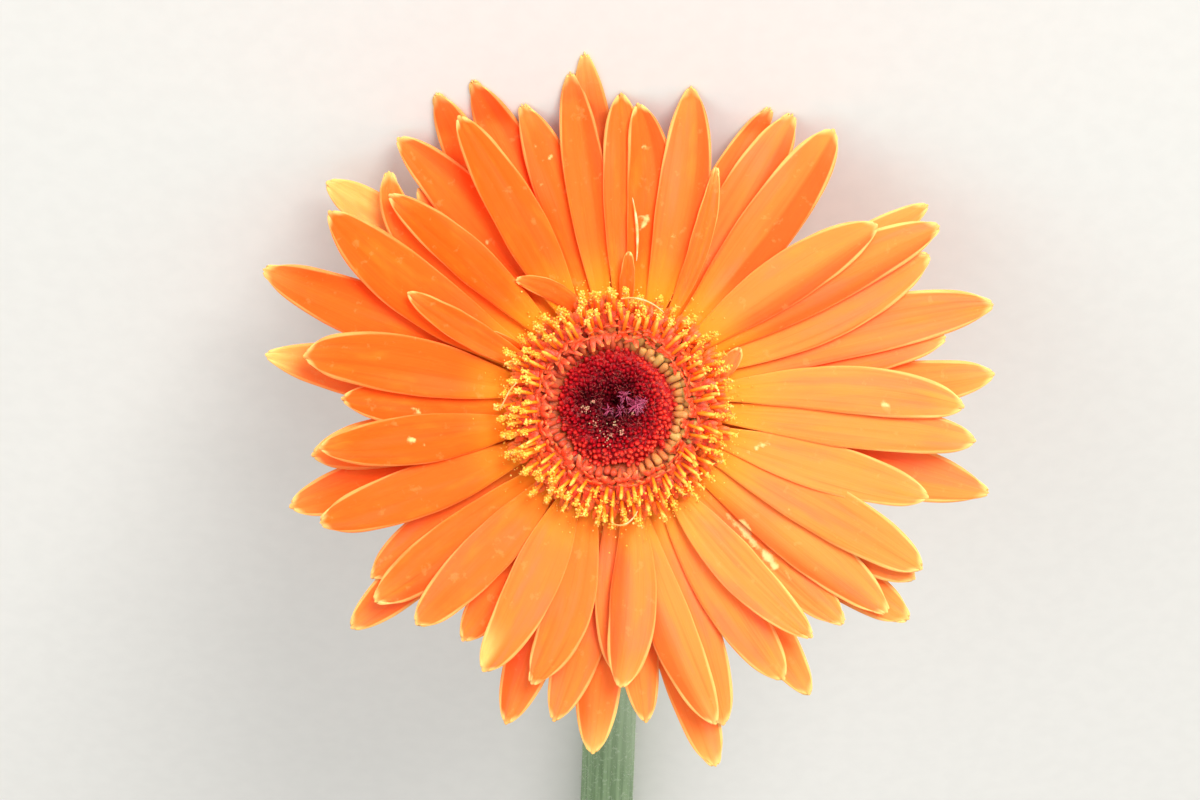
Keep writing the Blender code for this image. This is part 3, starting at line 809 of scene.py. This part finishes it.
def corollaPaint():
    paint = Paint("corollaSkin", floretSet["colours"], 0.45, 0.25, glow=(0.6, (1.0, 0.4, 0.15), 0.8 * mm))
    along, seed, green, outer = paint.marks("along", "seed", "green", "outer")
    mottle = paint.cloud(900.0)
    paint.tone = paint.blend(paint.ramp(along, 0.1, 0.5), "root", paint.blend(green, "warmTube", "tube"))
    paint.tint("throat", along, 0.9, 1.0)
    paint.tint(paint.blend(seed, "coral", "flush"), along, 0.95, 1.2)
    paint.tint("edge", along, 1.6, 2.0, most=0.7)
    paint.tint("outer", outer, 0.45, 1.0, most=0.75)
    paint.tint("flush", mottle, 0.4, 0.7, most=0.2)
    return paint.finished(mottle, 0.04 * mm, 0.4)


def makeCorollas(florets):
    heap = Heap()
    between = Random(9).uniform
    bed = [(radius * mm, height * mm) for radius, height in floretSet["bed"]]
    addTurned(heap, bed, floretSet["bedSteps"], {"along": 0.2, "seed": 0.5, "green": 0.3, "outer": 0.3})
    for floret in florets:
        azimuth, root, mouth, size = floret.azimuth, floret.root, floret.mouth, floret.size
        radial, sideways = onCircle(azimuth, 1), onCircle(azimuth + pi / 2, 1)
        knee = root.lerp(mouth, 0.5) + up(0.45 * mm)
        thin, wide = (radius * size for radius in floretSet["tubeRadii"])
        steady = {"seed": floret.seed, "green": floret.green, "outer": floret.row / 4}
        if floret.row == 0:
            shutTop = mouth + radial * (between(-0.5, 0.9) * mm) + up(between(-0.4, 0.4) * mm)
            narrow = wide * (0.62 + 0.2 * floret.green) * between(0.84, 1.1)
            marks = {**steady, "along": lambda along, across: 0.9 * along}
            addRound(
                heap, 12, 8, (root, knee, shutTop),
                lambda along: narrow * (0.85 + 0.25 * smooth(0.1, 0.7, along) - 0.5 * smooth(0.86, 1, along)),
                sideways, marks)
            continue
        marks = {**steady, "along": lambda along, across: along}
        addRound(
            heap, 10, 7, (root, knee, mouth),
            lambda along: thin + (wide - thin) * smooth(0.1, 0.9, along), sideways, marks)
        marks = {**steady, "along": lambda along, across: 1 + along}
        # the outer lip, split in three at its tip
        for split in (-1, 0, 1):
            swing = radial + sideways * (split * 0.22 + between(-0.06, 0.06))
            length = floretSet["lipLength"] * size * between(0.85, 1.1) * (1 - 0.12 * abs(split))
            start = mouth + radial * (0.30 * mm) + sideways * (split * 0.22 * mm) - up(0.25 * mm)
            middle = start + swing * (length * 0.45) + up(between(0.2, 0.6) * mm)
            end = start + swing * length + up(between(-0.9, 0.2) * mm)
            half = floretSet["lipWidth"] / 2 * 0.62 * size
            addRound(
                heap, 6, 5, (start, middle, end),
                lambda along: half * (0.75 + 0.35 * sin(pi * along) - 0.45 * along**3),
                sideways, marks, 0.32)
        # two narrow inner lobes, which curl back, or over the centre from the innermost row
        inner = (1.1 - 0.8 * floret.green) if floret.row == 1 else 0.5
        for side in (-1, 1):
            start = mouth - radial * (0.28 * mm) + sideways * (side * 0.24 * mm) - up(0.2 * mm)
            length = floretSet["lobeLength"] * size * between(0.8, 1.15)
            away = sideways * (side * between(0.1, 0.8)) - radial * (inner * between(0.2, 1.4))
            middle = start + up(length * 0.75) + away * (length * 0.2)
            end = start + up(length * between(0.1, 0.95)) + away * (length * 0.8)
            half = floretSet["lobeWidth"] / 2 * size
            addRound(
                heap, 7, 5, (start, middle, end),
                lambda along: half * (0.9 - 0.5 * along**2), sideways, marks, 0.5)
    makePiece("floretCorollas", heap, corollaPaint(), "trans_florets")


def rodPaint():
    paint = Paint("rodSkin", floretSet["rodColours"], 0.42, glow=(0.25, (1.0, 0.45, 0.1), 0.5 * mm))
    along, seed = paint.marks("along", "seed")
    mottle = paint.cloud(1500.0)
    paint.tone = paint.blend(paint.ramp(along, 0.0, 0.4), "root", "rod")
    paint.tint("tip", along, 0.6, 0.95)
    dusty = paint.times(paint.ramp(mottle, 0.5, 0.62), paint.ramp(along, 0.35, 1.0))
    paint.cover("dust", paint.times(dusty, paint.ramp(seed, 0, 1, 0.5)))
    return paint.finished(mottle, 0.06 * mm)


def makeRods(florets):
    heap = Heap()
    chance = Random(10)
    between = chance.uniform
    for floret in florets:
        if floret.row == 0:
            continue
        mouth, tip = floret.mouth, floret.tip
        sideways = onCircle(floret.azimuth + pi / 2, 1)
        points = mouth - up(0.8 * mm), mouth.lerp(tip, 0.35) + up(0.35 * mm), tip
        thick = floretSet["rodRadius"] * floret.size
        marks = {"along": lambda along, across: along, "seed": floret.seed}
        addRound(
            heap, 8, 7, points, lambda along: thick * (0.85 + 0.25 * along - 0.5 * smooth(0.86, 1, along)),
            sideways, marks)
        if chance.random() >= floretSet["forked"][floret.row]:
            continue
        forward = (tip - mouth).normalized()
        marks = {"along": 1.0, "seed": floret.seed}
        for side in (-1, 1):
            away = sideways * (side * between(0.5, 1.1)) + up(between(-0.3, 0.6))
            length = between(0.35, 0.7) * mm
            bend = tip + forward * (length * 0.7)
            end = tip + forward * (length * 0.75) + away * (length * 0.7)
            points = tip - forward * 0.15 * mm, bend, end
            addRound(heap, 6, 5, points, lambda along: thick * (0.6 - 0.2 * along), sideways, marks)
    makePiece("antherRods", heap, rodPaint(), "trans_florets")


def pollenPaint():
    paint = Paint("pollenSkin", floretSet["pollenColours"], 0.6, glow=(0.3, (1.0, 0.6, 0.15), 0.3 * mm))
    seed, = paint.marks("seed")
    paint.tone = paint.blend(paint.ramp(seed, 0.0, 0.6), "amber", "yellow")
    paint.tint("pale", seed, 0.7, 1.0)
    return paint.finished(paint.cloud(4000.0), 0.03 * mm)


def makePollen(florets):
    heap = Heap()
    chance = Random(12)
    between, gauss = chance.uniform, chance.gauss
    made = 0
    while made < floretSet["pollen"]:
        floret = chance.choice(florets)
        bare = 0.4 - 0.35 * cos(floret.azimuth - floretSet["dusty"])
        if chance.random() > floretSet["dusted"][floret.row] * (1 - bare):
            continue
        clump = chance.randint(4, 12)
        forward = (floret.tip - floret.mouth).normalized()
        middle = floret.tip + forward * (between(-0.9, 0.3) * mm)
        tone = chance.random()
        spread = between(0.10, 0.28) * mm
        for _ in range(clump):
            place = middle + Vector((gauss(0, spread), gauss(0, spread), gauss(0, spread)))
            marks = {"seed": min(max(tone + between(-0.3, 0.3), 0), 1)}
            addGrain(heap, place, between(0.08, 0.24) * mm, marks)
        made += clump
    # some has fallen on the petals' roots
    for _ in range(floretSet["settled"]):
        radius = (17.0 + abs(gauss(0, 1.6))) * mm
        place = onCircle(between(0, tau), radius, layerHeight(radius, 5) + between(0.2, 0.5) * mm)
        addGrain(heap, place, between(0.07, 0.16) * mm, {"seed": chance.random()})
    makePiece("pollen", heap, pollenPaint(), "trans_florets")


# pale threads over the ring, and torn edges of petals that curl up: points in mm in the bloom's frame
threadSet = {
    "threads": (
        ((0.6, 16.0, 7.2), (2.6, 16.5, 7.4), (5.0, 15.8, 7.2), (6.9, 14.0, 6.6)),
        ((-0.9, -17.0, 5.8), (0.4, -18.2, 6.3), (2.2, -17.2, 6.4), (3.0, -15.4, 6.0)),
        ((-14.9, 3.6, 6.6), (-16.2, 2.4, 6.8), (-16.6, 1.0, 6.6), (-17.4, -0.4, 5.6)),
    ),
    "threadRadius": 0.14 * mm,
    "curls": (((2.3, 31.2), (3.0, 28.0), (3.2, 25.2), (2.9, 21.8)),),
    "curlRadius": 0.24 * mm,
    "colours": {"warm": "ffa04a", "pale": "ffc792"},
}


def makeThreads():
    heap = Heap()
    paint = Paint("threadSkin", threadSet["colours"], 0.5, glow=(0.3, (1.0, 0.2, 0.1), 0.3 * mm))
    paint.tone = paint.blend(paint.ramp(paint.cloud(700.0), 0.3, 0.7), "warm", "pale")
    threadRadius, curlRadius = threadSet["threadRadius"], threadSet["curlRadius"]
    for points in threadSet["threads"]:
        places = [Vector(point) * mm for point in points]
        addRound(
            heap, 7, 24, places,
            lambda along: threadRadius * (0.35 + 0.65 * sin(pi * (0.08 + 0.84 * along))), up(1), {})
    for points in threadSet["curls"]:
        heights = [layerHeight(hypot(x, y) * mm, 5) / mm + 0.5 for x, y in points]
        places = [Vector((*point, height)) * mm for point, height in zip(points, heights)]
        addRound(
            heap, 7, 24, places,
            lambda along: curlRadius * sin(pi * (0.06 + 0.88 * along)), up(1), {})
    makePiece("paleThreads", heap, paint.finished(), "trans_florets")


# green cup and its bracts

cupSet = {
    # radius and height in mm, over the seat of the florets, round its rim and down to the stem
    "profile": (
        (0.0, 0.2), (9.0, 0.5), (12.5, 0.8), (13.6, 0.1), (14.3, -1.4), (14.4, -4.0), (13.6, -9.0),
        (11.6, -14.0), (8.6, -18.2), (6.0, -20.6), (4.7, -22.0), (4.3, -22.4), (0.0, -22.4),
    ),
    "steps": 60,
    # each row of bracts, lowest first: how many, height of root and tip, width and stand-off in mm
    "rows": (
        (12, -21.2, -13.6, 3.0, 0.5), (14, -19.6, -8.8, 3.6, 0.8),
        (16, -17.0, -5.0, 3.9, 1.1), (19, -13.0, -2.2, 3.7, 1.3),
    ),
    "widest": 0.32,  # of the way up a bract
    "thickness": 0.42 * mm,
    "hairs": 3600,
    "hairRadius": 0.022 * mm,
    "colours": {
        "deep": "587838", "leaf": "82a450", "light": "aec27e",
        "tip": "6e5a3c", "down": "c4cdb0", "seat": "c47a30",
    },
}


def cupRadius(height):
    outside = [(radius * mm, level * mm) for radius, level in cupSet["profile"][4:-1]]
    for (upper, top), (lower, bottom) in zip(outside, outside[1:]):
        if bottom <= height <= top:
            return lower + (upper - lower) * (height - bottom) / (top - bottom)
    return outside[0][0] if height > 0.5 * outside[-1][1] else outside[-1][0]


def bractPlacer(bract):
    def place(along, across):
        height = bract.root + (bract.tip - bract.root) * along
        widest = cupSet["widest"]
        swell = 0.55 + 0.45 * sin(pi / 2 * min(along / widest, 1))
        taper = (1 - max(along - widest, 0) / (1 - widest)) ** 0.72
        half = bract.width / 2 * swell * max(taper, 0.03)
        radius = cupRadius(height) + bract.lift + bract.off * along**1.6
        radius += 0.22 * mm * bump(0, 0.22, across) * (1 - along) - 0.25 * mm * across * across * taper
        radius += 0.1 * mm * noise.noise(Vector((along * 6, across * 2, bract.seed * 50)))
        return onCircle(bract.azimuth + bract.swing * along + across * half / radius, radius, height)

    return place


# hair marks: 0 is green skin, 1 is hair and 2 is the seat of the florets
def greenPaint(name, distance):
    paint = Paint(name, cupSet["colours"], 0.62, glow=(0.12, (0.5, 1.0, 0.2), 0.6 * mm))
    along, across, seed, hair = paint.marks("along", "across", "seed", "hair")
    place = paint.place(paint.times(across, 9.0), paint.times(along, 2.0), paint.times(seed, 31.0))
    streak, mottle = paint.cloud(1.0, 3.0, place=place), paint.cloud(260.0, 3.0)
    paint.tone = paint.blend(paint.ramp(streak, 0.3, 0.7), "deep", "leaf")
    paint.tint("light", mottle, 0.45, 0.75, most=0.6)
    paint.tint("light", paint.maths("ABSOLUTE", across), 0.75, 1.0, most=0.5)
    paint.tint("tip", along, 0.86, 1.0, most=0.7)
    paint.tint("down", hair, 0.4, 0.6)
    paint.tint("seat", hair, 1.4, 1.6)
    return paint.finished(paint.plus(streak, mottle), distance, 0.6)


def bractShapes(chance):
    between = chance.uniform
    rows = cupSet["rows"]
    bracts = []
    for row, (count, root, tip, width, off) in enumerate(rows):
        for number in range(count):
            bracts.append(SimpleNamespace(
                azimuth=tau * (number + 0.5 * (row % 2) + between(-0.12, 0.12)) / count,
                swing=between(-0.04, 0.04),
                root=root * mm,
                tip=(tip + between(-0.9, 0.5)) * mm,
                width=width * mm * between(0.9, 1.1),
                off=off * mm * between(0.6, 1.3),
                lift=0.12 * mm * (len(rows) - row),
                seed=chance.random()))
    return bracts


def makeCup():
    heap = Heap()
    profile = [(radius * mm, height * mm) for radius, height in cupSet["profile"]]
    seatMark = lambda radius, height: 2.0 if height > -0.5 * mm else 0.0
    addTurned(heap, profile, cupSet["steps"], {"along": 0.4, "across": 0.0, "seed": 0.3, "hair": seatMark})
    makePiece("bractCup", heap, greenPaint("cupSkin", 0.15 * mm), "involucre")

    heap = Heap()
    chance = Random(14)
    bracts = bractShapes(chance)
    for bract in bracts:
        marks = {"along": lambda along, across: along, "across": lambda along, across: across}
        addSkin(heap, 8, 18, bractPlacer(bract), {**marks, "seed": bract.seed, "hair": 0.0})
    piece = makePiece("bracts", heap, greenPaint("bractSkin", 0.10 * mm), "involucre")
    thicken(piece, cupSet["thickness"])

    heap = Heap()
    for _ in range(cupSet["hairs"]):
        place = bractPlacer(chance.choice(bracts))
        root = place(chance.uniform(0.03, 0.98), chance.choice((-1, 1)) * sqrt(chance.random()))
        direction = outward(atan2(root.y, root.x) + chance.gauss(0, 0.5), 1.5 + chance.gauss(0, 0.5))
        marks = {"along": 0.5, "across": 0.0, "seed": chance.random(), "hair": 1.0}
        length = chance.uniform(0.35, 0.95) * mm
        addHair(heap, root, direction.normalized(), length, cupSet["hairRadius"], marks)
    makePiece("bractDown", heap, greenPaint("downSkin", 0.02 * mm), "involucre")


# bare stem

stemSet = {
    "radii": (4.4 * mm, 5.1 * mm),  # at the top and at the cut end
    "reach": 185.0 * mm,
    "bendRadius": 43.5 * mm,
    "sway": 3.0 * mm,
    "top": 22.3 * mm,  # from the bloom's centre down its axis
    "sunk": 1.2 * mm,  # into the cup
    "ribs": 11,
    "ribDepth": 0.10 * mm,
    "grid": (66, 150),
    # the cut end: share of the radius, and how far it is sunk
    "cut": (
        (0.96, -0.05 * mm), (0.88, 0.05 * mm), (0.80, 0.35 * mm),
        (0.55, 0.55 * mm), (0.28, 0.45 * mm), (0.0, 0.5 * mm),
    ),
    "hairs": 6500,
    "hairRadius": 0.020 * mm,
    "bareBelow": 1.2 * mm,  # no hair where the stem rests
    "colours": {
        "shade": "5a774c", "green": "7f9a70", "light": "a4b698", "flush": "94825c",
        "down": "c9d2c0", "pith": "cdd8a2", "ring": "8fae62",
    },
}


# the stem's middle line and its radius, by the length from its top
def stemLine():
    lift, centre, bend = bloomSeat["lift"], bloomSeat["centre"], stemSet["bendRadius"]
    topRadius, endRadius = stemSet["radii"]
    down = Vector((0, -cos(lift), -sin(lift)))
    top = centre + down * stemSet["top"]
    drop = bend * (1 - cos(lift))
    slant = (top.z - drop - topRadius) / sin(lift)
    flatStart = top + down * slant + Vector((0, -bend * sin(lift), -drop))
    endY = centre.y - stemSet["reach"]

    def line(travel):
        if travel < slant:
            place = top + down * travel
        elif travel < slant + bend * lift:
            angle = lift - (travel - slant) / bend
            place = flatStart + Vector((0, sin(angle), 1 - cos(angle))) * bend
        else:
            place = flatStart - Vector((0, travel - slant - bend * lift, 0))
        share = max((top.y - place.y) / (top.y - endY), 0)
        radius = topRadius + (endRadius - topRadius) * share
        return place + Vector((-stemSet["sway"] * share * share, 0, radius - topRadius)), radius

    return line, slant + bend * lift + flatStart.y - endY


def stemPaint():
    paint = Paint("stemSkin", stemSet["colours"], 0.58, glow=(0.15, (0.5, 1.0, 0.25), 0.9 * mm))
    along, across, hair, cut = paint.marks("along", "across", "hair", "cut")
    # across turns once round the stem, so streaks read its sine and cosine and have no seam
    turn = paint.times(across, pi)
    sine, cosine = (paint.times(paint.maths(kind, turn), 4.0) for kind in ("SINE", "COSINE"))
    streak = paint.cloud(1.6, 3.0, place=paint.place(sine, cosine, paint.times(along, 5.0)))
    speck = paint.cloud(1100.0)
    paint.tone = paint.blend(paint.ramp(streak, 0.32, 0.68), "shade", "green")
    paint.tint("light", paint.cloud(22.0), 0.4, 0.7, most=0.6)
    paint.tint("light", speck, 0.58, 0.7, most=0.5)
    paint.tint("flush", along, 0.8, 1.0, most=0.35)
    paint.tint("down", hair, 0.4, 0.6)
    paint.tint("ring", cut, 0.05, 0.2)
    paint.tint("pith", cut, 0.3, 0.55)
    return paint.finished(paint.plus(streak, paint.times(speck, 0.4)), 0.12 * mm, 0.6)


def makeStem():
    line, length = stemLine()
    (sides, bodyRows), cut, sunk = stemSet["grid"], stemSet["cut"], stemSet["sunk"]
    rows = bodyRows + len(cut)

    # which way the stem's back points, and which way it runs
    def heading(travel, start):
        forward = (line(min(travel + mm, length))[0] - line(max(travel - mm, start))[0]).normalized()
        return Vector((1, 0, 0)).cross(forward).normalized(), forward

    def bodyShare(gridAlong):
        return min(gridAlong * rows / bodyRows, 1)

    def cutStage(gridAlong):
        return max(round(gridAlong * rows) - bodyRows, 0)

    def place(gridAlong, across):
        travel = bodyShare(gridAlong) * (length + sunk) - sunk
        middle, radius = line(travel)
        top, forward = heading(travel, -sunk)
        angle = across * pi
        rib = 0.5 - 0.5 * cos(stemSet["ribs"] * angle + 0.8 * sin(travel * 60))
        size = radius - stemSet["ribDepth"] * rib
        size -= 0.08 * mm * (0.5 + 0.5 * noise.noise(Vector((cos(angle), sin(angle), travel * 90))))
        stage = cutStage(gridAlong)
        if stage:
            share, deep = cut[stage - 1]
            size *= share
            middle = middle - forward * deep
        return middle + (Vector((1, 0, 0)) * cos(angle) + top * sin(angle)) * size

    heap = Heap()
    addSkin(heap, sides, rows, place, {
        "along": lambda along, across: bodyShare(along),
        "across": lambda along, across: across,
        "hair": 0.0,
        "cut": lambda along, across: cutStage(along) / len(cut),
    })
    # the top, inside the cup, is drawn shut
    stemTop = line(-sunk)[0]
    for vertex in [v for v in heap.batch.verts if v.is_boundary]:
        if (vertex.co - stemTop).length < 1.3 * stemSet["radii"][0]:
            vertex.co = stemTop
    makePiece("stemSkin", heap, stemPaint(), "scape", turn=None)

    heap = Heap()
    chance = Random(17)
    for _ in range(stemSet["hairs"]):
        travel = chance.uniform(0, 1) * length
        middle, radius = line(travel)
        top, forward = heading(travel, 0)
        angle = chance.uniform(0, tau)
        away = Vector((cos(angle), 0, 0)) + top * sin(angle)
        root = middle + away * (radius - 0.12 * mm)
        if root.z < stemSet["bareBelow"]:
            continue
        direction = (away + forward * chance.gauss(-0.3, 0.35) + top * chance.gauss(0, 0.2)).normalized()
        marks = {"along": 0.5, "across": 0.0, "hair": 1.0, "cut": 0.0}
        addHair(heap, root, direction, chance.uniform(0.3, 0.75) * mm, stemSet["hairRadius"], marks)
    makePiece("stemDown", heap, stemPaint(), "scape", turn=None)


# floor, light and camera

studio = {
    "colours": {"floor": "e4e4e0"},
    "floorGrain": (0.5, 0.5, 0.49, 1),
    "floorHalf": 3.0,
    "world": (1.0, 0.99, 0.97, 1),
    "worldStrength": 0.78,
    # each lamp: direction from the bloom in its own frame, size, power and colour
    "lamps": {
        "keyLamp": ((0.45, 0.55, 1.0), 0.9, 42.0, (1.0, 0.98, 0.95)),
        "fillLamp": ((-1.0, 0.2, 0.9), 1.2, 6.0, (0.97, 0.98, 1.0)),
    },
    "lampDistance": 1.7,
    # the bloom's middle lies 17 px right of and 7 px below the frame's middle, at 0.15 mm a pixel
    "aim": (-17 * 0.15 * mm, 7 * 0.15 * mm),
    "cameraDistance": 500 * mm,
    "lens": 100,
}


def makeFloor():
    shape = bmesh.new()
    bmesh.ops.create_grid(shape, x_segments=1, y_segments=1, size=studio["floorHalf"])
    mesh = bpy.data.meshes.new("floor")
    shape.to_mesh(mesh)
    shape.free()
    paint = Paint("floorCard", studio["colours"], 0.85)
    grain = paint.ramp(paint.cloud(300.0), 0.3, 0.7, most=0.06)
    paint.tone = paint.blend(grain, "floor", studio["floorGrain"])
    mesh.materials.append(paint.finished())
    floor = addObject("floor", mesh)


def makeLight():
    world = bpy.data.worlds.new("studio")
    world.use_nodes = True
    background = world.node_tree.nodes["Background"].inputs
    background["Color"].default_value = studio["world"]
    background["Strength"].default_value = studio["worldStrength"]
    bpy.context.scene.world = world
    for name, (direction, size, power, colour) in studio["lamps"].items():
        lamp = bpy.data.lights.new(name, "AREA")
        lamp.size = size
        lamp.energy = power
        lamp.color = colour
        holder = addObject(name, lamp)
        away = (bloomTurn.to_3x3() @ Vector(direction)).normalized()
        holder.location = bloomSeat["centre"] + away * studio["lampDistance"]
        holder.rotation_euler = away.to_track_quat("Z", "Y").to_euler()
        holder.visible_camera = False
    bpy.context.scene.view_settings.view_transform = "Standard"


def makeCamera():
    data = bpy.data.cameras.new("camera")
    data.lens = studio["lens"]
    data.sensor_width = 36
    data.clip_start = 0.01
    camera = addObject("camera", data)
    camera.matrix_world = bloomTurn @ Matrix.Translation((*studio["aim"], studio["cameraDistance"]))
    bpy.context.scene.camera = camera


makeFloor()
makeLight()
makeCamera()
print("studio ready")
makePetals()
makeBuds()
makeStrands()
openedFlorets = floretShapes()
makeCorollas(openedFlorets)
makeRods(openedFlorets)
makePollen(openedFlorets)
makeThreads()
makeCup()
makeStem()
